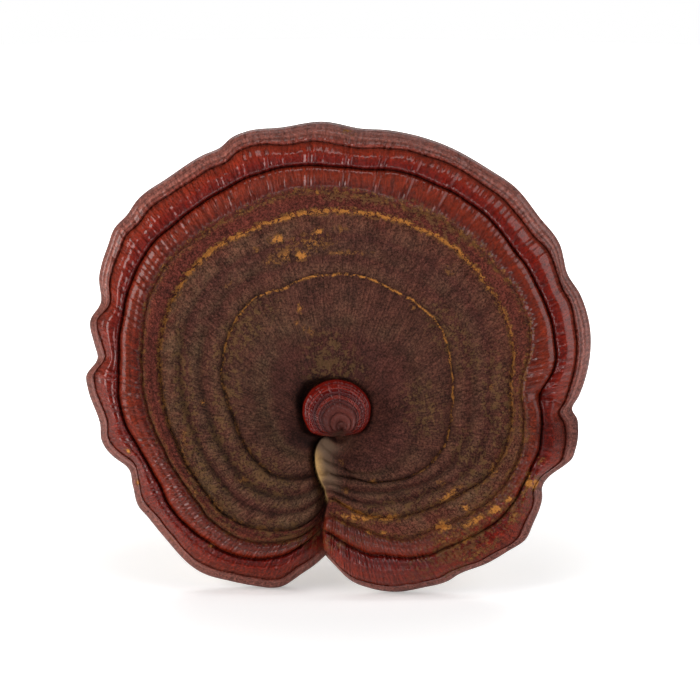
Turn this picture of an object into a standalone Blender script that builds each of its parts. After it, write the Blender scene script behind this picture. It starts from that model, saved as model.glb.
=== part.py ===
"""A dried reishi mushroom, one whole fruiting body at its real size.

It stands as it would on a table. The two bottom lobes of the cap touch the surface in front, and the flat
cut end of the stem touches it behind, so the cap's lacquered face looks along -Y and leans back a little.
Three pieces: the cap, the young cap that buds from its centre, and the stem behind it.
"""

import math

import bmesh
import bpy
import numpy as np
from mathutils import Matrix, Vector

# Lengths below are in millimetres and angles in degrees, measured on the cap's face: u to the right,
# v up the face and w out of it, from the point where the growth rings begin. Bearings turn anticlockwise
# from u, and run once round from the right side of the cleft to its left side.
MM = 0.001
LEAN = 14.5  # the face leans back from upright by this angle
LOBE_STEP = 5.5  # the right lobe stands this far in front of the left one
RIM_BULGE = 1.5  # how far the rounded rim stands out past the face's edge
GAP = 0.35  # clear space between neighbouring pieces

# The lobed outline of the cap, as bearing and radius
OUTLINE = (
    (-94.4, 39.5), (-90, 42.7), (-84, 47.7), (-77.3, 51.2), (-60.4, 57.2), (-52.8, 59.8), (-49, 60.3),
    (-40.3, 64.5), (-34.5, 67.2), (-29.5, 69.9), (-25, 69.8), (-17, 69.3), (-15.3, 68.6), (-11.6, 70.1),
    (-6.8, 76.0), (-4.2, 77.1), (3, 77.6), (5.6, 76.2), (8.3, 78.8), (29, 89.9), (34.9, 90.2),
    (39.2, 93.3), (46.7, 94.9), (53.6, 97.2), (59.7, 97.4), (80, 98.0), (85, 97.4), (92.2, 99.3),
    (100, 98.9), (109.3, 99.8), (112, 98.1), (115.4, 98.1), (123.3, 97.3), (130.7, 97.4), (133.6, 96.2),
    (137.6, 95.9), (140.4, 94.1), (146.8, 90.2), (150.7, 85.8), (156, 85.8), (160, 81.9), (162.3, 79.7),
    (167.7, 81.5), (170, 80.3), (178, 75.2), (182.3, 74.6), (186.3, 71.4), (189.6, 67.4), (195, 66.9),
    (201, 67.1), (204, 65.9), (227, 61.8), (235, 58.2), (244, 55.0), (250.6, 52.5), (257, 46.4),
    (265.6, 39.5),
)

# The growth rings between the centre and the rim, as bearing and radius: the dusted inner ring, the
# ochre ring, the edge of the lacquer and the deep furrow
INNER_RING = (
    (-113, 14.1), (-85, 14.1), (-65, 16.6), (-45, 22.4), (-25, 30.1), (-5, 35.8), (15, 39.0), (35, 44.6),
    (55, 48.5), (75, 49.9), (95, 50.4), (115, 49.3), (135, 46.7), (155, 39.7), (175, 31.8), (195, 27.7),
    (215, 23.7), (235, 17.9), (247, 14.1),
)
OCHRE_RING = (
    (-97, 23.0), (-85, 23.0), (-65, 30.1), (-45, 36.8), (-25, 45.8), (-5, 55.0), (15, 58.4), (35, 66.1),
    (55, 69.8), (75, 70.6), (95, 70.7), (115, 70.0), (135, 68.6), (155, 61.9), (175, 54.1), (195, 48.0),
    (215, 44.5), (235, 38.2), (255, 29.1), (263, 23.0),
)
LACQUER_EDGE = (
    (-98, 27.2), (-85, 28.8), (-65, 36.8), (-45, 44.5), (-25, 53.8), (-5, 60.0), (15, 61.9), (35, 72.6),
    (55, 75.2), (75, 75.5), (95, 77.4), (115, 76.4), (135, 75.7), (155, 67.8), (175, 59.5), (195, 52.0),
    (215, 48.6), (235, 43.0), (255, 32.8), (262, 27.2),
)
FURROW = (
    (-98, 31.7), (-82, 37.1), (-67, 43.2), (-48, 50.9), (-30, 58.6), (-10, 64.0), (10, 66.6), (15, 72.0),
    (25, 77.1), (35, 79.6), (55, 84.5), (75, 85.8), (95, 85.6), (115, 85.1), (135, 83.5), (155, 75.8),
    (175, 68.5), (195, 59.0), (205, 57.9), (215, 55.4), (235, 49.3), (255, 36.8), (262, 31.7),
)
# The thin groove inside the rim, as bearing and distance in from the outline
EDGE_GROOVE = (
    (-94.4, 2.4), (-15, 2.4), (-8, 3.2), (0, 4.2), (15, 5.0), (35, 3.6), (45, 5.4), (75, 5.4), (90, 6.5),
    (105, 5.0), (145, 3.9), (160, 2.4), (265.6, 2.4),
)
RIM_INSET = 1.4

# Growth counts the rings outwards: 0 centre, 1 inner ring, 2 ochre ring, 3 lacquer edge, 4 furrow,
# 5 edge groove, 6 rim. The profiles below give a value at each growth.
CLEFT_BEARING = (
    (0, 200), (0.35, 204), (0.75, 233), (1, 247), (1.5, 259), (2, 263), (3, 262), (4, 262), (6, 265.6),
)
FACE_PROFILE = ((0, 0), (1, 0.6), (2, 1.2), (3, 1.2), (4, 0.2), (5, -2.4), (6, -4.6))
CLEFT_FLOOR = ((0, -6.2), (0.5, -4.2), (1, -4), (2, -4), (3, -4.2), (4, -5.2), (5, -7), (6, -8.2))
# Rounded growth bands, as first growth, last growth and how far they stand up
BANDS = ((1, 1.5, 0.5), (1.5, 2, 0.6), (2, 3, 0.8), (3, 4, 1.7), (4, 5, 2.2), (5, 6, 0.6))

# The hollow in the cap's centre that the young cap grows from
HOLLOW_CENTRE = (0.5, 6.5)
HOLLOW_FLOOR = -6.2
HOLLOW_FLOOR_RADIUS = 8.0
HOLLOW_RADIUS = 13.2

# The underside: flesh thickness from the stem (0) to the rim (1), and the flat patch the stem joins
FLESH = ((0, 14), (0.25, 12.5), (0.5, 10.5), (0.75, 8.8), (1, 7))
STEM_PATCH_RADIUS = 13.0
STEM_PATCH_W = -16.0

# The young cap, seen face on: outline as bearing and radius from its centre
BUD_CENTRE = (0.5, 6.5)
BUD_NECK = (0.9, 0.4)
BUD_OUTLINE = (
    (-90, 7.8), (-60, 8.9), (-40, 10.4), (-20, 11.0), (90, 10.7), (200, 11.0), (220, 10.5), (240, 9.0),
    (270, 7.8),
)
# From the neck over the rim to the foot, as share of the outline and height over the face
BUD_FACE = ((0, 0.8), (0.22, 2.2), (0.45, 3.6), (0.66, 4.9), (0.82, 5.4), (0.93, 4.6), (1, 3.2))
BUD_UNDERSIDE = ((0.96, 1.8), (0.78, 0.2), (0.58, -2.6))
BUD_FOOT_RADIUS = 4.6

# The stem, from the cap's back to its cut end, as share of its length and radius
STEM_RADIUS = ((0, 11.2), (0.12, 9.6), (0.35, 8.6), (0.6, 8.4), (0.85, 9.2), (1, 9.8))
STEM_REACH = 57.0  # the cut end lies this far behind the stem's start
STEM_RUN_OUT = 26.0
STEM_RUN_DOWN = 24.0

# How finely each surface is divided
CAP_TURNS = 96
FACE_ROWS = (
    0, 0.26, 0.4, 0.55, 0.75, 0.95, 1, 1.25, 1.5, 1.75, 2, 2.3, 2.7, 3, 3.12, 3.5, 3.88, 4, 4.12, 4.5, 4.85,
    5, 5.4, 6,
)
RIM_STEPS = 4
BACK_ROWS = (1, 0.88, 0.7, 0.45, 0.2, 0)
BUD_TURNS = 36
STEM_TURNS = 28
STEM_RINGS = 14

# sRGB colours of the dried skin
CAP_COLOUR = (84, 42, 34)
BUD_COLOUR = (92, 30, 22)
STEM_COLOUR = (74, 30, 22)


def curve(points, at):
    """Value at each place of the smooth curve through (place, value) points."""
    places, values = np.array(points, dtype=float).T
    slopes = np.gradient(values, places)
    left = np.clip(np.searchsorted(places, at) - 1, 0, len(places) - 2)
    span = places[left + 1] - places[left]
    t = np.clip((at - places[left]) / span, 0, 1)
    start = (2 * t**3 - 3 * t**2 + 1) * values[left] + (t**3 - 2 * t**2 + t) * span * slopes[left]
    end = (3 * t**2 - 2 * t**3) * values[left + 1] + (t**3 - t**2) * span * slopes[left + 1]
    return start + end


def straight(points, at):
    """Value at each place of the straight lines through (place, value) points."""
    places, values = np.array(points, dtype=float).T
    return np.interp(at, places, values)


def step(low, high, value):
    """0 below low, 1 above high and a smooth rise between."""
    t = np.clip((value - low) / (high - low), 0, 1)
    return t * t * (3 - 2 * t)


def cleft_bearing(growth):
    """Bearing of the cleft's line at a growth, reached from its left side."""
    return float(straight(CLEFT_BEARING, growth))


def bearing(turn, growth):
    """Bearing at a turn: turns run from the cleft's left side (0) right round to its right side (1)."""
    hold = 0.5 + 0.5 * np.cos(2 * np.pi * turn)
    return 262 - 360 * turn + (cleft_bearing(growth) - 262) * hold


def ring_radius(index, turn):
    """Radius of one whole growth ring at each turn."""
    at = bearing(turn, index)
    if index == 0:
        return np.zeros_like(turn)
    if index <= 4:
        return curve((INNER_RING, OCHRE_RING, LACQUER_EDGE, FURROW)[index - 1], at)
    at = bearing(turn, 6)
    inset = straight(EDGE_GROOVE, at) if index == 5 else RIM_INSET
    return curve(OUTLINE, at) - inset


def radius(turn, growth):
    """Radius at any growth, by straight steps between whole rings."""
    ring = min(int(growth), 5)
    part = growth - ring
    return (1 - part) * ring_radius(ring, turn) + part * ring_radius(ring + 1, turn)


def body_height(turn, growth):
    """Height of the cap's face without its rings, hollow and cleft."""
    at = np.radians(bearing(turn, growth))
    lobes = -0.5 * LOBE_STEP * np.cos(np.pi * turn) * step(0.3, 4, growth)
    waves = 0.5 * np.sin(3 * at + 0.7) + 0.25 * np.sin(7 * at)
    return straight(FACE_PROFILE, growth) + lobes + waves * (growth / 6) ** 2


def cleft_reach(turn, distance):
    """Distance along the face from the cleft's line, and whether it is on the left side."""
    return distance * np.radians(360 * np.minimum(turn, 1 - turn)), turn < 0.5


def band_height(growth):
    """How far the rounded growth bands stand up at a growth."""
    for first, last, height in BANDS:
        if first <= growth <= last:
            place = 2 * (growth - first) / (last - first) - 1
            return height * (1 - place * place) ** 0.7
    return 0.0


def face_row(turn, growth):
    """One closed line round the face: u, v and w at each turn."""
    distance = radius(turn, growth)
    angle = np.radians(bearing(turn, growth))
    u = distance * np.cos(angle)
    v = distance * np.sin(angle)
    w = body_height(turn, growth) + band_height(growth)

    across, up = u - HOLLOW_CENTRE[0], v - HOLLOW_CENTRE[1]
    away = np.hypot(across, up)
    below = np.clip(-up / np.maximum(away, 0.1), 0, 1) ** 2
    w += (HOLLOW_FLOOR - w) * (1 - step(HOLLOW_FLOOR_RADIUS, HOLLOW_RADIUS - 2.6 * below, away))

    reach, on_left = cleft_reach(turn, distance)
    floor = straight(CLEFT_FLOOR, growth)
    curl = 0.9 * np.exp(-(((reach - 2.4) / 1.4) ** 2)) * step(0.25, 0.5, growth) * (1 - step(2, 3, growth))
    rise = np.where(on_left, 1 - np.exp(-((reach / 4.5) ** 1.4)), 1 - np.exp(-((reach / 1.6) ** 2)))
    w = floor + (w - floor + np.where(on_left, 0, curl)) * rise
    return u, v, w


def back_row(turn, share):
    """One closed line round the back, from the rim (share 1) to the edge of the stem's patch (share 0)."""
    distance = STEM_PATCH_RADIUS + (radius(turn, 6) - STEM_PATCH_RADIUS) * share
    angle = np.radians(bearing(turn, 6))
    reach, _ = cleft_reach(turn, distance)
    middle = float(straight(FACE_PROFILE, 6 * share))
    side = body_height(turn, 6 * share) - middle
    w = middle + side * (1 - np.exp(-((reach / 5) ** 2))) - straight(FLESH, share)
    w += (STEM_PATCH_W - w) * (1 - step(0, 0.45, share))
    return distance * np.cos(angle), distance * np.sin(angle), w


def cap_rows():
    """Every line of the closed cap, from the middle of its face over the rim to the middle of its back."""
    even = np.linspace(0, 1, CAP_TURNS + 1)
    turn = even - 0.028 * np.sin(4 * np.pi * even) - 0.04 * np.sin(2 * np.pi * even)
    rows = [face_row(turn, growth) for growth in FACE_ROWS]
    u, v, top = rows[-1]
    bottom = back_row(turn, 1)[2]
    distance = np.hypot(u, v)
    for index in range(1, RIM_STEPS + 1):
        roll = math.pi * index / (RIM_STEPS + 1)
        out = 1 + RIM_BULGE * math.sin(roll) / distance
        rows.append((u * out, v * out, (top + bottom) / 2 + (top - bottom) / 2 * math.cos(roll)))
    rows += [back_row(turn, share) for share in BACK_ROWS]
    rows.append((0 * turn, 0 * turn, 0 * turn + STEM_PATCH_W))
    return rows


def bud_rows():
    """Every line of the closed young cap, from its neck over its rim to its foot."""
    turn = np.linspace(-90, 270, BUD_TURNS + 1)
    angle = np.radians(turn)
    across = np.cos(angle)
    up = np.sin(angle)
    outline = curve(BUD_OUTLINE, turn)
    rows = []
    for share, height in BUD_FACE + BUD_UNDERSIDE:
        start = BUD_NECK if (share, height) in BUD_FACE else BUD_CENTRE
        u = start[0] + share * (BUD_CENTRE[0] + outline * across - start[0])
        v = start[1] + share * (BUD_CENTRE[1] + outline * up - start[1])
        rows.append((u, v, 0 * u + height))
    foot = 0 * turn + HOLLOW_FLOOR + GAP
    for reach in (BUD_FOOT_RADIUS, 0):
        rows.append((BUD_CENTRE[0] + reach * across, BUD_CENTRE[1] + reach * up, foot))
    return rows


def stem_rows(start, out):
    """Every line of the closed stem, from its flat top on the cap's back to its flat cut on the ground."""
    end = Vector((start.x, start.y + STEM_REACH * MM, 0))
    knots = (start, start + out * STEM_RUN_OUT * MM, end + Vector((0, 0, STEM_RUN_DOWN * MM)), end)
    turn = np.linspace(0, 2 * np.pi, STEM_TURNS + 1)
    rows = []
    for index in range(STEM_RINGS + 1):
        t = index / STEM_RINGS
        weights = ((1 - t) ** 3, 3 * t * (1 - t) ** 2, 3 * t * t * (1 - t), t**3)
        middle = sum((weight * knot for weight, knot in zip(weights, knots)), Vector())
        slopes = (3 * (1 - t) ** 2, 6 * t * (1 - t), 3 * t * t)
        along = sum((s * (b - a) for s, a, b in zip(slopes, knots, knots[1:])), Vector()).normalized()
        side = Vector((1, 0, 0))
        up = side.cross(along)
        ridges = 1 + 0.05 * np.sin(3 * turn + 5 * t) + 0.03 * np.sin(5 * turn - 9 * t)
        thick = float(curve(STEM_RADIUS, t)) * ridges * MM
        across = 1.1 * thick * np.cos(turn)
        over = 0.95 * thick * np.sin(turn)
        rows.append([middle + side * a + up * b for a, b in zip(across, over)])
    return [[start] * len(turn)] + rows + [[end] * len(turn)]


def closed_skin(name, rows, colour, roughness):
    """A closed body whose grid of faces follows the rows, each row going once round."""
    mesh = bpy.data.meshes.new(name)
    body = bmesh.new()
    turns, steps = len(rows[0]) - 1, len(rows) - 1
    bmesh.ops.create_grid(body, x_segments=turns, y_segments=steps, size=1)
    for vert in body.verts:
        column = round((vert.co.x + 1) / 2 * turns)
        row = round((vert.co.y + 1) / 2 * steps)
        vert.co = rows[row][column]
    bmesh.ops.remove_doubles(body, verts=body.verts, dist=0.00001)
    bmesh.ops.recalc_face_normals(body, faces=body.faces)
    body.to_mesh(mesh)
    body.free()

    material = bpy.data.materials.new(name + "_skin")
    material.use_nodes = True
    shader = material.node_tree.nodes["Principled BSDF"]
    linear = [((value / 255 + 0.055) / 1.055) ** 2.4 for value in colour]
    shader.inputs["Base Color"].default_value = (*linear, 1)
    shader.inputs["Roughness"].default_value = roughness
    shader.inputs["Metallic"].default_value = 0
    mesh.materials.append(material)
    piece = bpy.data.objects.new(name, mesh)
    bpy.context.scene.collection.objects.link(piece)
    return piece


def points(rows):
    """Face places in millimetres as points in metres, with the face in the XZ plane looking along -Y."""
    return [[Vector((u, -w, v)) * MM for u, v, w in zip(*row)] for row in rows]


def build():
    for old in list(bpy.data.objects):
        bpy.data.objects.remove(old)

    cap = closed_skin("cap", points(cap_rows()), CAP_COLOUR, 0.45)
    bud = closed_skin("young_cap", points(bud_rows()), BUD_COLOUR, 0.25)

    # Lean the face back, then set the lobes on the ground
    lean = Matrix.Rotation(-math.radians(LEAN), 4, "X")
    lowest = min((lean @ vert.co).z for vert in cap.data.vertices)
    stand = Matrix.Translation((0, 0, -lowest)) @ lean
    cap.data.transform(stand)
    bud.data.transform(stand)

    start = stand @ Vector((0, (GAP - STEM_PATCH_W) * MM, 0))
    out = (lean @ Vector((0, 1, 0))).normalized()
    stem = closed_skin("stem", stem_rows(start, out), STEM_COLOUR, 0.4)

    # Centre the whole mushroom over the origin
    pieces = (cap, bud, stem)
    spots = [vert.co for piece in pieces for vert in piece.data.vertices]
    middle_x = (min(spot.x for spot in spots) + max(spot.x for spot in spots)) / 2
    middle_y = (min(spot.y for spot in spots) + max(spot.y for spot in spots)) / 2
    for piece in pieces:
        piece.data.transform(Matrix.Translation((-middle_x, -middle_y, 0)))


build()
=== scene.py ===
"""Dried reishi mushroom: the finished look of its cap, its young cap and its stem.

Laid out as an add-on and run as a script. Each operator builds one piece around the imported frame, and the
last one sets up the floor, the lights and the camera.
"""

import functools
import math

import bmesh
import bpy
import numpy as np
from mathutils import Matrix, Vector, noise


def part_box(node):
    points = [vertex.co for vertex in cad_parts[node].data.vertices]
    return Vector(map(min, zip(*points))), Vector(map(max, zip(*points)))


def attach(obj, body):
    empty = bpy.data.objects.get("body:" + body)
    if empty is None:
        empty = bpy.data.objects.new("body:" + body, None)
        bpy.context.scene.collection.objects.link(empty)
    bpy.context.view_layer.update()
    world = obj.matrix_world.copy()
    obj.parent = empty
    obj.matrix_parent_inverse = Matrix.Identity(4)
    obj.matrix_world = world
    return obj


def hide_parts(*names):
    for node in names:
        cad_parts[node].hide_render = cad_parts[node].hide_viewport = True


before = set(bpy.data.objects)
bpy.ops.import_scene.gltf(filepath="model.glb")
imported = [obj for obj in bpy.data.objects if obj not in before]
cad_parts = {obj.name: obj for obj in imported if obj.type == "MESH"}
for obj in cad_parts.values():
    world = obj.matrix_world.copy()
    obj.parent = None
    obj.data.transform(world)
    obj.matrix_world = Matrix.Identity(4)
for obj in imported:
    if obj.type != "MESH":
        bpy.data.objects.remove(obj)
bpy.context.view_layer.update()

bl_info = {
    "name": "Dried Reishi Mushroom",
    "version": (1, 0, 0),
    "blender": (4, 5, 0),
    "location": "View3D > Sidebar > Reishi",
    "description": "Builds a dried reishi mushroom with its lacquered rings, young cap and stem",
    "category": "Add Mesh",
}

# Lengths in the tables below are in millimetres and angles in degrees, measured on the cap's face: u to the
# right, v up the face and w out of it, from the point where the growth rings begin. Bearings turn
# anticlockwise from u, once round from the right side of the cleft to its left side.
MM = 0.001
LEAN = 14.5
VIEW_CENTRE = (4.8, 26.2)
VIEW_DISTANCE = 900.0
LOBE_STEP = 5.5
RIM_INSET = 1.4
RIM_BULGE = 1.5
ROUND = 360
TOP_BEARING = 75

# The lobed outline of the cap, as bearing and radius
OUTLINE = (
    (-94.4, 39.5), (-90, 42.7), (-84, 47.7), (-77.3, 51.2), (-69.4, 54.6), (-60.4, 57.2), (-52.8, 59.8),
    (-49, 60.3), (-40.3, 64.5), (-34.5, 67.2), (-29.5, 69.9), (-25, 69.8), (-17, 69.3), (-15.3, 68.6),
    (-11.6, 70.1), (-8.3, 74.2), (-6.8, 76.0), (-4.2, 77.1), (0.9, 77.8), (3, 77.6), (5.6, 76.2),
    (8.3, 78.8), (12.7, 82.4), (22.7, 88.3), (29, 89.9), (34.9, 90.2), (36.9, 91.6), (39.2, 93.3),
    (46.7, 94.9), (53.6, 97.2), (59.7, 97.4), (69.8, 98.3), (80, 98.0), (85, 97.4), (92.2, 99.3),
    (100, 98.9), (106.5, 100.2), (109.3, 99.8), (112, 98.1), (115.4, 98.1), (123.3, 97.3), (130.7, 97.4),
    (133.6, 96.2), (137.6, 95.9), (140.4, 94.1), (144.5, 91.8), (146.8, 90.2), (150.7, 85.8), (156, 85.8),
    (160, 81.9), (162.3, 79.7), (167.7, 81.5), (170, 80.3), (178, 75.2), (182.3, 74.6), (184.4, 73.3),
    (186.3, 71.4), (189.6, 67.4), (195, 66.9), (201, 67.1), (204, 65.9), (210.6, 64.3), (227, 61.8),
    (235, 58.2), (244, 55.0), (247.6, 53.9), (250.6, 52.5), (257, 46.4), (260.8, 43.4), (265.6, 39.5),
)


def tens(first, *radii):
    """Bearing and radius pairs every ten degrees from the first bearing."""
    return ((first + 10 * index, radius) for index, radius in enumerate(radii))


# The growth rings between the centre and the rim, as bearing and radius: the dusted inner ring, the
# ochre ring, the edge of the lacquer and the deep furrow
RINGS = (
    (
        (-113, 14.8), *tens(-95, 13.4, 14.1, 15, 16.6, 19.6, 22.4, 26.4, 30.1, 33, 35.8, 37.1, 39, 41.4,
        44.6, 47.4, 48.5, 49, 49.9, 50.5, 50.4, 49.6), (110, 48.6), *tens(115, 49.3, 49.4, 46.7, 43.5, 39.7,
        35.4, 31.8, 29.8, 27.7, 25.8, 23.7, 21, 17.9), (247, 14.8),
    ),
    (
        (-97, 22.6), (-90, 21.4), *tens(-85, 23, 26.2, 30.1, 33.6, 36.8, 40.6, 45.8, 51.5, 55, 57.1, 58.4,
        63, 66.1, 68, 69.8, 70.5, 70.6), *tens(95, 70.7, 70.6, 70, 70.1, 68.6, 65.8, 61.9, 57.8, 54.1, 50.6,
        48, 45.9, 44.5, 41.8, 38.2, 34.6, 29.1), (263, 22.6),
    ),
    (
        (-98, 27.2), (-90, 26.9), (-82, 29.6), *tens(-75, 31.5, 36.8, 41.6, 44.5, 48.6, 53.8, 57.6, 60,
        60.5, 61.9, 69, 72.6, 73.9, 75.2, 76, 75.5, 76.8, 77.4, 77.4, 76.4, 76.2, 75.7, 73, 67.8, 63.7,
        59.5, 55.4, 52, 49.6, 48.6, 46.4, 43, 38.7, 32.8), (262, 27.2),
    ),
    (
        (-98, 31.2), (-90, 33.3), (-82, 37.1), (-74, 40.8), (-67, 43.2), (-61, 46.1), (-55, 48.6),
        (-48, 50.9), (-42, 53.1), (-36, 55.8), (-30, 58.6), (-25, 60.5), (-15, 62.7), (-10, 64), (-5, 65.6),
        (0, 66.1), (5, 66.2), (10.5, 66.6), *tens(15, 72, 77.1, 79.6, 81.6, 84.5, 85.4, 85.8, 84.6, 85.6,
        86.2, 85.1, 84.3, 83.5, 80.3, 75.8, 71.7, 68.5, 63, 59, 57.9, 55.4, 52.8, 49.3, 44.3, 36.8),
        (262, 31.2),
    ),
)
# The thin groove inside the rim, as bearing and distance in from the outline
EDGE_GROOVE = (
    (-94.4, 2.4), (-15, 2.4), (-8, 3.2), (0, 4.2), (8, 4.5), (15, 5.1), (25, 4.8), (35, 3.3), (45, 5.4),
    (55, 5.4), (65, 4.8), (75, 5.4), (90, 6.7), (105, 5.0), (125, 5.0), (135, 4.5), (145, 3.9), (155, 2.1),
    (165, 2.3), (180, 2.1), (265.6, 2.2),
)

# Growth counts the rings outwards: 0 centre, 1 inner ring, 2 ochre ring, 3 lacquer edge, 4 furrow,
# 5 edge groove, 6 start of the rim, 7 its pale lip, 8 the middle of the underside.
# The bearing of the cleft on the whole, and by growth
CLEFT_AT = 262
CLEFT_BEARING = (
    (0, 200), (0.35, 204), (0.75, 233), (1, 247), (1.5, 259), (2, 263), (3, 262), (4, 262), (6, 265.6),
)
FACE_PROFILE = ((0, 0), (1, 0.6), (2, 1.2), (3, 1.2), (4, 0.2), (5, -2.4), (6, -4.6))
# The crease that runs in from the right notch, as radius and bearing
NOTCH_LINE = ((66, 10.4), (69, 9.5), (73, 7.4), (76, 5.8), (80, 5.4))
NOTCH_DEPTH = 2.6
# How high the dusty ledge over the hollow is
LEDGE_HEIGHT = 1.3
# The tongue beside the cleft: half its width, its height and how far its lip curls over
TONGUE_REACH = 5.2
TONGUE_HEIGHT = 2.7
TONGUE_CURL = 1.1
CLEFT_FLOOR = ((0, -6.2), (0.5, -4.2), (1, -4), (2, -4), (3, -4.2), (4, -5.2), (5, -7), (6, -8.2))
# Rounded growth bands: first growth, last growth, height low on the cap, height at its top
BANDS = (
    (0.42, 0.7, 1.0, 0.3), (0.7, 1, 1.7, 0.5), (1, 1.32, 1.8, 0.4), (1.32, 1.64, 2.0, 0.45),
    (1.64, 2, 2.0, 0.55), (2, 3, 1.2, 0.7), (2, 2.5, 0.8, 0.2), (2.5, 3, 0.5, 0), (3, 4, 1.3, 1.2),
    (3, 3.5, 0.9, 0.2), (3.5, 4, 0.6, 0), (4, 5, 1.4, 1.4), (4, 4.34, 0.9, 0.2), (4.34, 4.72, 0.9, 0.15),
    (4.72, 5, 0.5, 0), (5, 6, 0.7, 0.7), (5, 5.45, 0.4, 0.35),
)
# Narrow creases: growth, depth low on the cap, depth at its top and half width
CREASES = (
    (1, 0.6, 0.25, 0.4), (2, 0.55, 0.15, 0.4), (3, 0.4, 0.1, 0.4), (4, 0.8, 1.3, 0.24), (5, 0.7, 0.7, 0.22),
    (5.45, 0.55, 0.6, 0.24), (5.9, 0.45, 0.5, 0.22),
)

# The hollow in the cap's centre that the young cap grows from: its floor, and its rim as bearing from the
# hollow's centre and radius
HOLLOW_CENTRE = (0.5, 6.5)
HOLLOW_FLOOR = -4.8
HOLLOW_RIM = (
    (-180, 12.6), (-150, 12.9), (-125, 10.6), (-105, 7.4), (-80, 7.0), (-60, 9.2), (-30, 11.6), (0, 11.9),
    (45, 11.5), (90, 11.3), (115, 12.4), (140, 14.2), (160, 13.6), (180, 12.6),
)

# The underside: flesh thickness from the stem (0) to the rim (1), and the flat patch the stem joins
FLESH = ((0, 14), (0.25, 12.5), (0.5, 10.5), (0.75, 8.8), (1, 7))
STEM_PATCH_RADIUS = 13.0
STEM_PATCH_SHARE = 0.12
STEM_PATCH_W = -16.0

# The young cap, seen face on
BUD_CENTRE = (0.5, 6.5)
BUD_NECK = (2.4, 0.8)
BUD_OUTLINE = (
    (-90, 7.8), (-60, 8.7), (-40, 10.1), (-20, 10.7), (90, 10.3), (200, 10.8), (220, 10.4), (240, 9.0),
    (270, 7.8),
)
BUD_FACE = ((0, 0.8), (0.22, 2.2), (0.45, 3.5), (0.66, 4.6), (0.82, 4.9), (0.93, 4.2), (1, 3.0))
BUD_UNDERSIDE = ((1, 3.0), (0.96, 1.8), (0.78, 0.2), (0.58, -2.6), (0.42, -6.4))
# Its growth rolls: first share, last share and height
BUD_ROLLS = (
    (0, 0.15, 0.2), (0.15, 0.32, 0.45), (0.32, 0.516, 0.55), (0.516, 0.585, 0.3), (0.585, 0.645, 0.25),
    (0.645, 0.69, 0.25), (0.69, 0.8, 0.35), (0.8, 0.86, 0.3), (0.86, 0.92, 0.3), (0.92, 0.965, 0.2),
    (0.965, 1, 0.15),
)
BUD_TURNS = 220
BUD_FACE_LINES = 72
BUD_UNDER_LINES = 20

# The stem: its radius along its length, how far it runs out and down before it bends, how far its middle
# stays in from the back, how oval it is and how finely it is divided
STEM_RADIUS = ((0, 12.6), (0.06, 10.9), (0.16, 9.4), (0.35, 8.6), (0.6, 8.4), (0.85, 9.2), (1, 9.8))
STEM_RUN_OUT = 26.0
STEM_RUN_DOWN = 24.0
STEM_CUT_IN = 9.1
STEM_OVAL = ((1.1,), (0.95,))
STEM_TURNS = 96
STEM_RINGS = 110
STEM_CUT_RINGS = 8

# How finely the cap is divided
CAP_TURNS = 340
FINE_CUTS = 2
FACE_SPANS = ((0, 0.3, 12), (0.3, 1, 34), (1, 2, 30), (2, 3, 12), (3, 4, 17), (4, 5, 17), (5, 6, 9))
FINE_FROM = 2.5
RIM_STEPS = 7
BACK_STEPS = 22
# How close two grid lines count as one, and how close two points of a seam are joined
SAME = 1e-6
SEAM = 2e-6


def curve(points, at):
    """Value at each place of the smooth curve through (place, value) points."""
    places, values = np.array(points, dtype=float).T
    slopes = np.gradient(values, places)
    left = np.clip(np.searchsorted(places, at) - 1, 0, len(places) - 2)
    span = places[left + 1] - places[left]
    t = np.clip((at - places[left]) / span, 0, 1)
    start = (2 * t**3 - 3 * t**2 + 1) * values[left] + (t**3 - 2 * t**2 + t) * span * slopes[left]
    end = (3 * t**2 - 2 * t**3) * values[left + 1] + (t**3 - t**2) * span * slopes[left + 1]
    return start + end


def straight(points, at):
    """Value at each place of the straight lines through (place, value) points."""
    places, values = np.array(points, dtype=float).T
    return np.interp(at, places, values)


def step(low, high, value):
    """0 below low, 1 above high and a smooth rise between."""
    t = np.clip((value - low) / (high - low), 0, 1)
    return t * t * (3 - 2 * t)


def swell(value, first, last):
    """0 at both ends of a band, rising to 1 in its middle."""
    return 1 - np.clip((value - first) / (last - first) * 2 - 1, -1, 1) ** 2


def near(value, middle, width):
    """1 at the middle, fading to 0 within about twice the width."""
    return np.exp(-(((value - middle) / width) ** 2))


def unevenness(u, v, size, seed):
    """Soft random height between about -1 and 1 over the face, with lumps of a size in millimetres."""
    return np.array([noise.noise(Vector((a, b, seed))) for a, b in zip(u / size, v / size)]) * 1.6


def rippled(angle, seed, *counts):
    """Soft random ripple round the cap, between about -1 and 1, with so many waves in a round."""
    return sum(np.sin(count * angle + seed * count) for count in counts) / len(counts)


def bearings(turn, growth):
    """Bearing at each turn: turns run from the cleft's left side (0) right round to its right side (1)."""
    hold = 0.5 + 0.5 * np.cos(2 * np.pi * turn)
    return CLEFT_AT - ROUND * turn + (straight(CLEFT_BEARING, growth) - CLEFT_AT) * hold


def ring_radii(turn):
    """Radius of the seven whole rings at each turn, one row for each ring."""
    rim = bearings(turn, 6)
    edge = curve(OUTLINE, rim)
    rows = [0 * turn]
    for index, ring in enumerate(RINGS, 1):
        at = bearings(turn, index)
        wander = 0.3 * rippled(np.radians(at), index, 11, 19, 31, 47)
        rows.append(curve(ring, at) + wander)
    rows.append(edge - straight(EDGE_GROOVE, rim) + 0.2 * rippled(np.radians(rim), 5, 23, 37, 53))
    rows.append(edge - RIM_INSET)
    return np.array(rows)


def radii(turn, growth):
    """Radius at each turn and growth, with the radii of the whole rings there."""
    rings = ring_radii(turn)
    ring = np.minimum(growth.astype(int), 5)
    part = growth - ring
    each = np.arange(len(turn))
    return (1 - part) * rings[ring, each] + part * rings[ring + 1, each], rings


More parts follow.
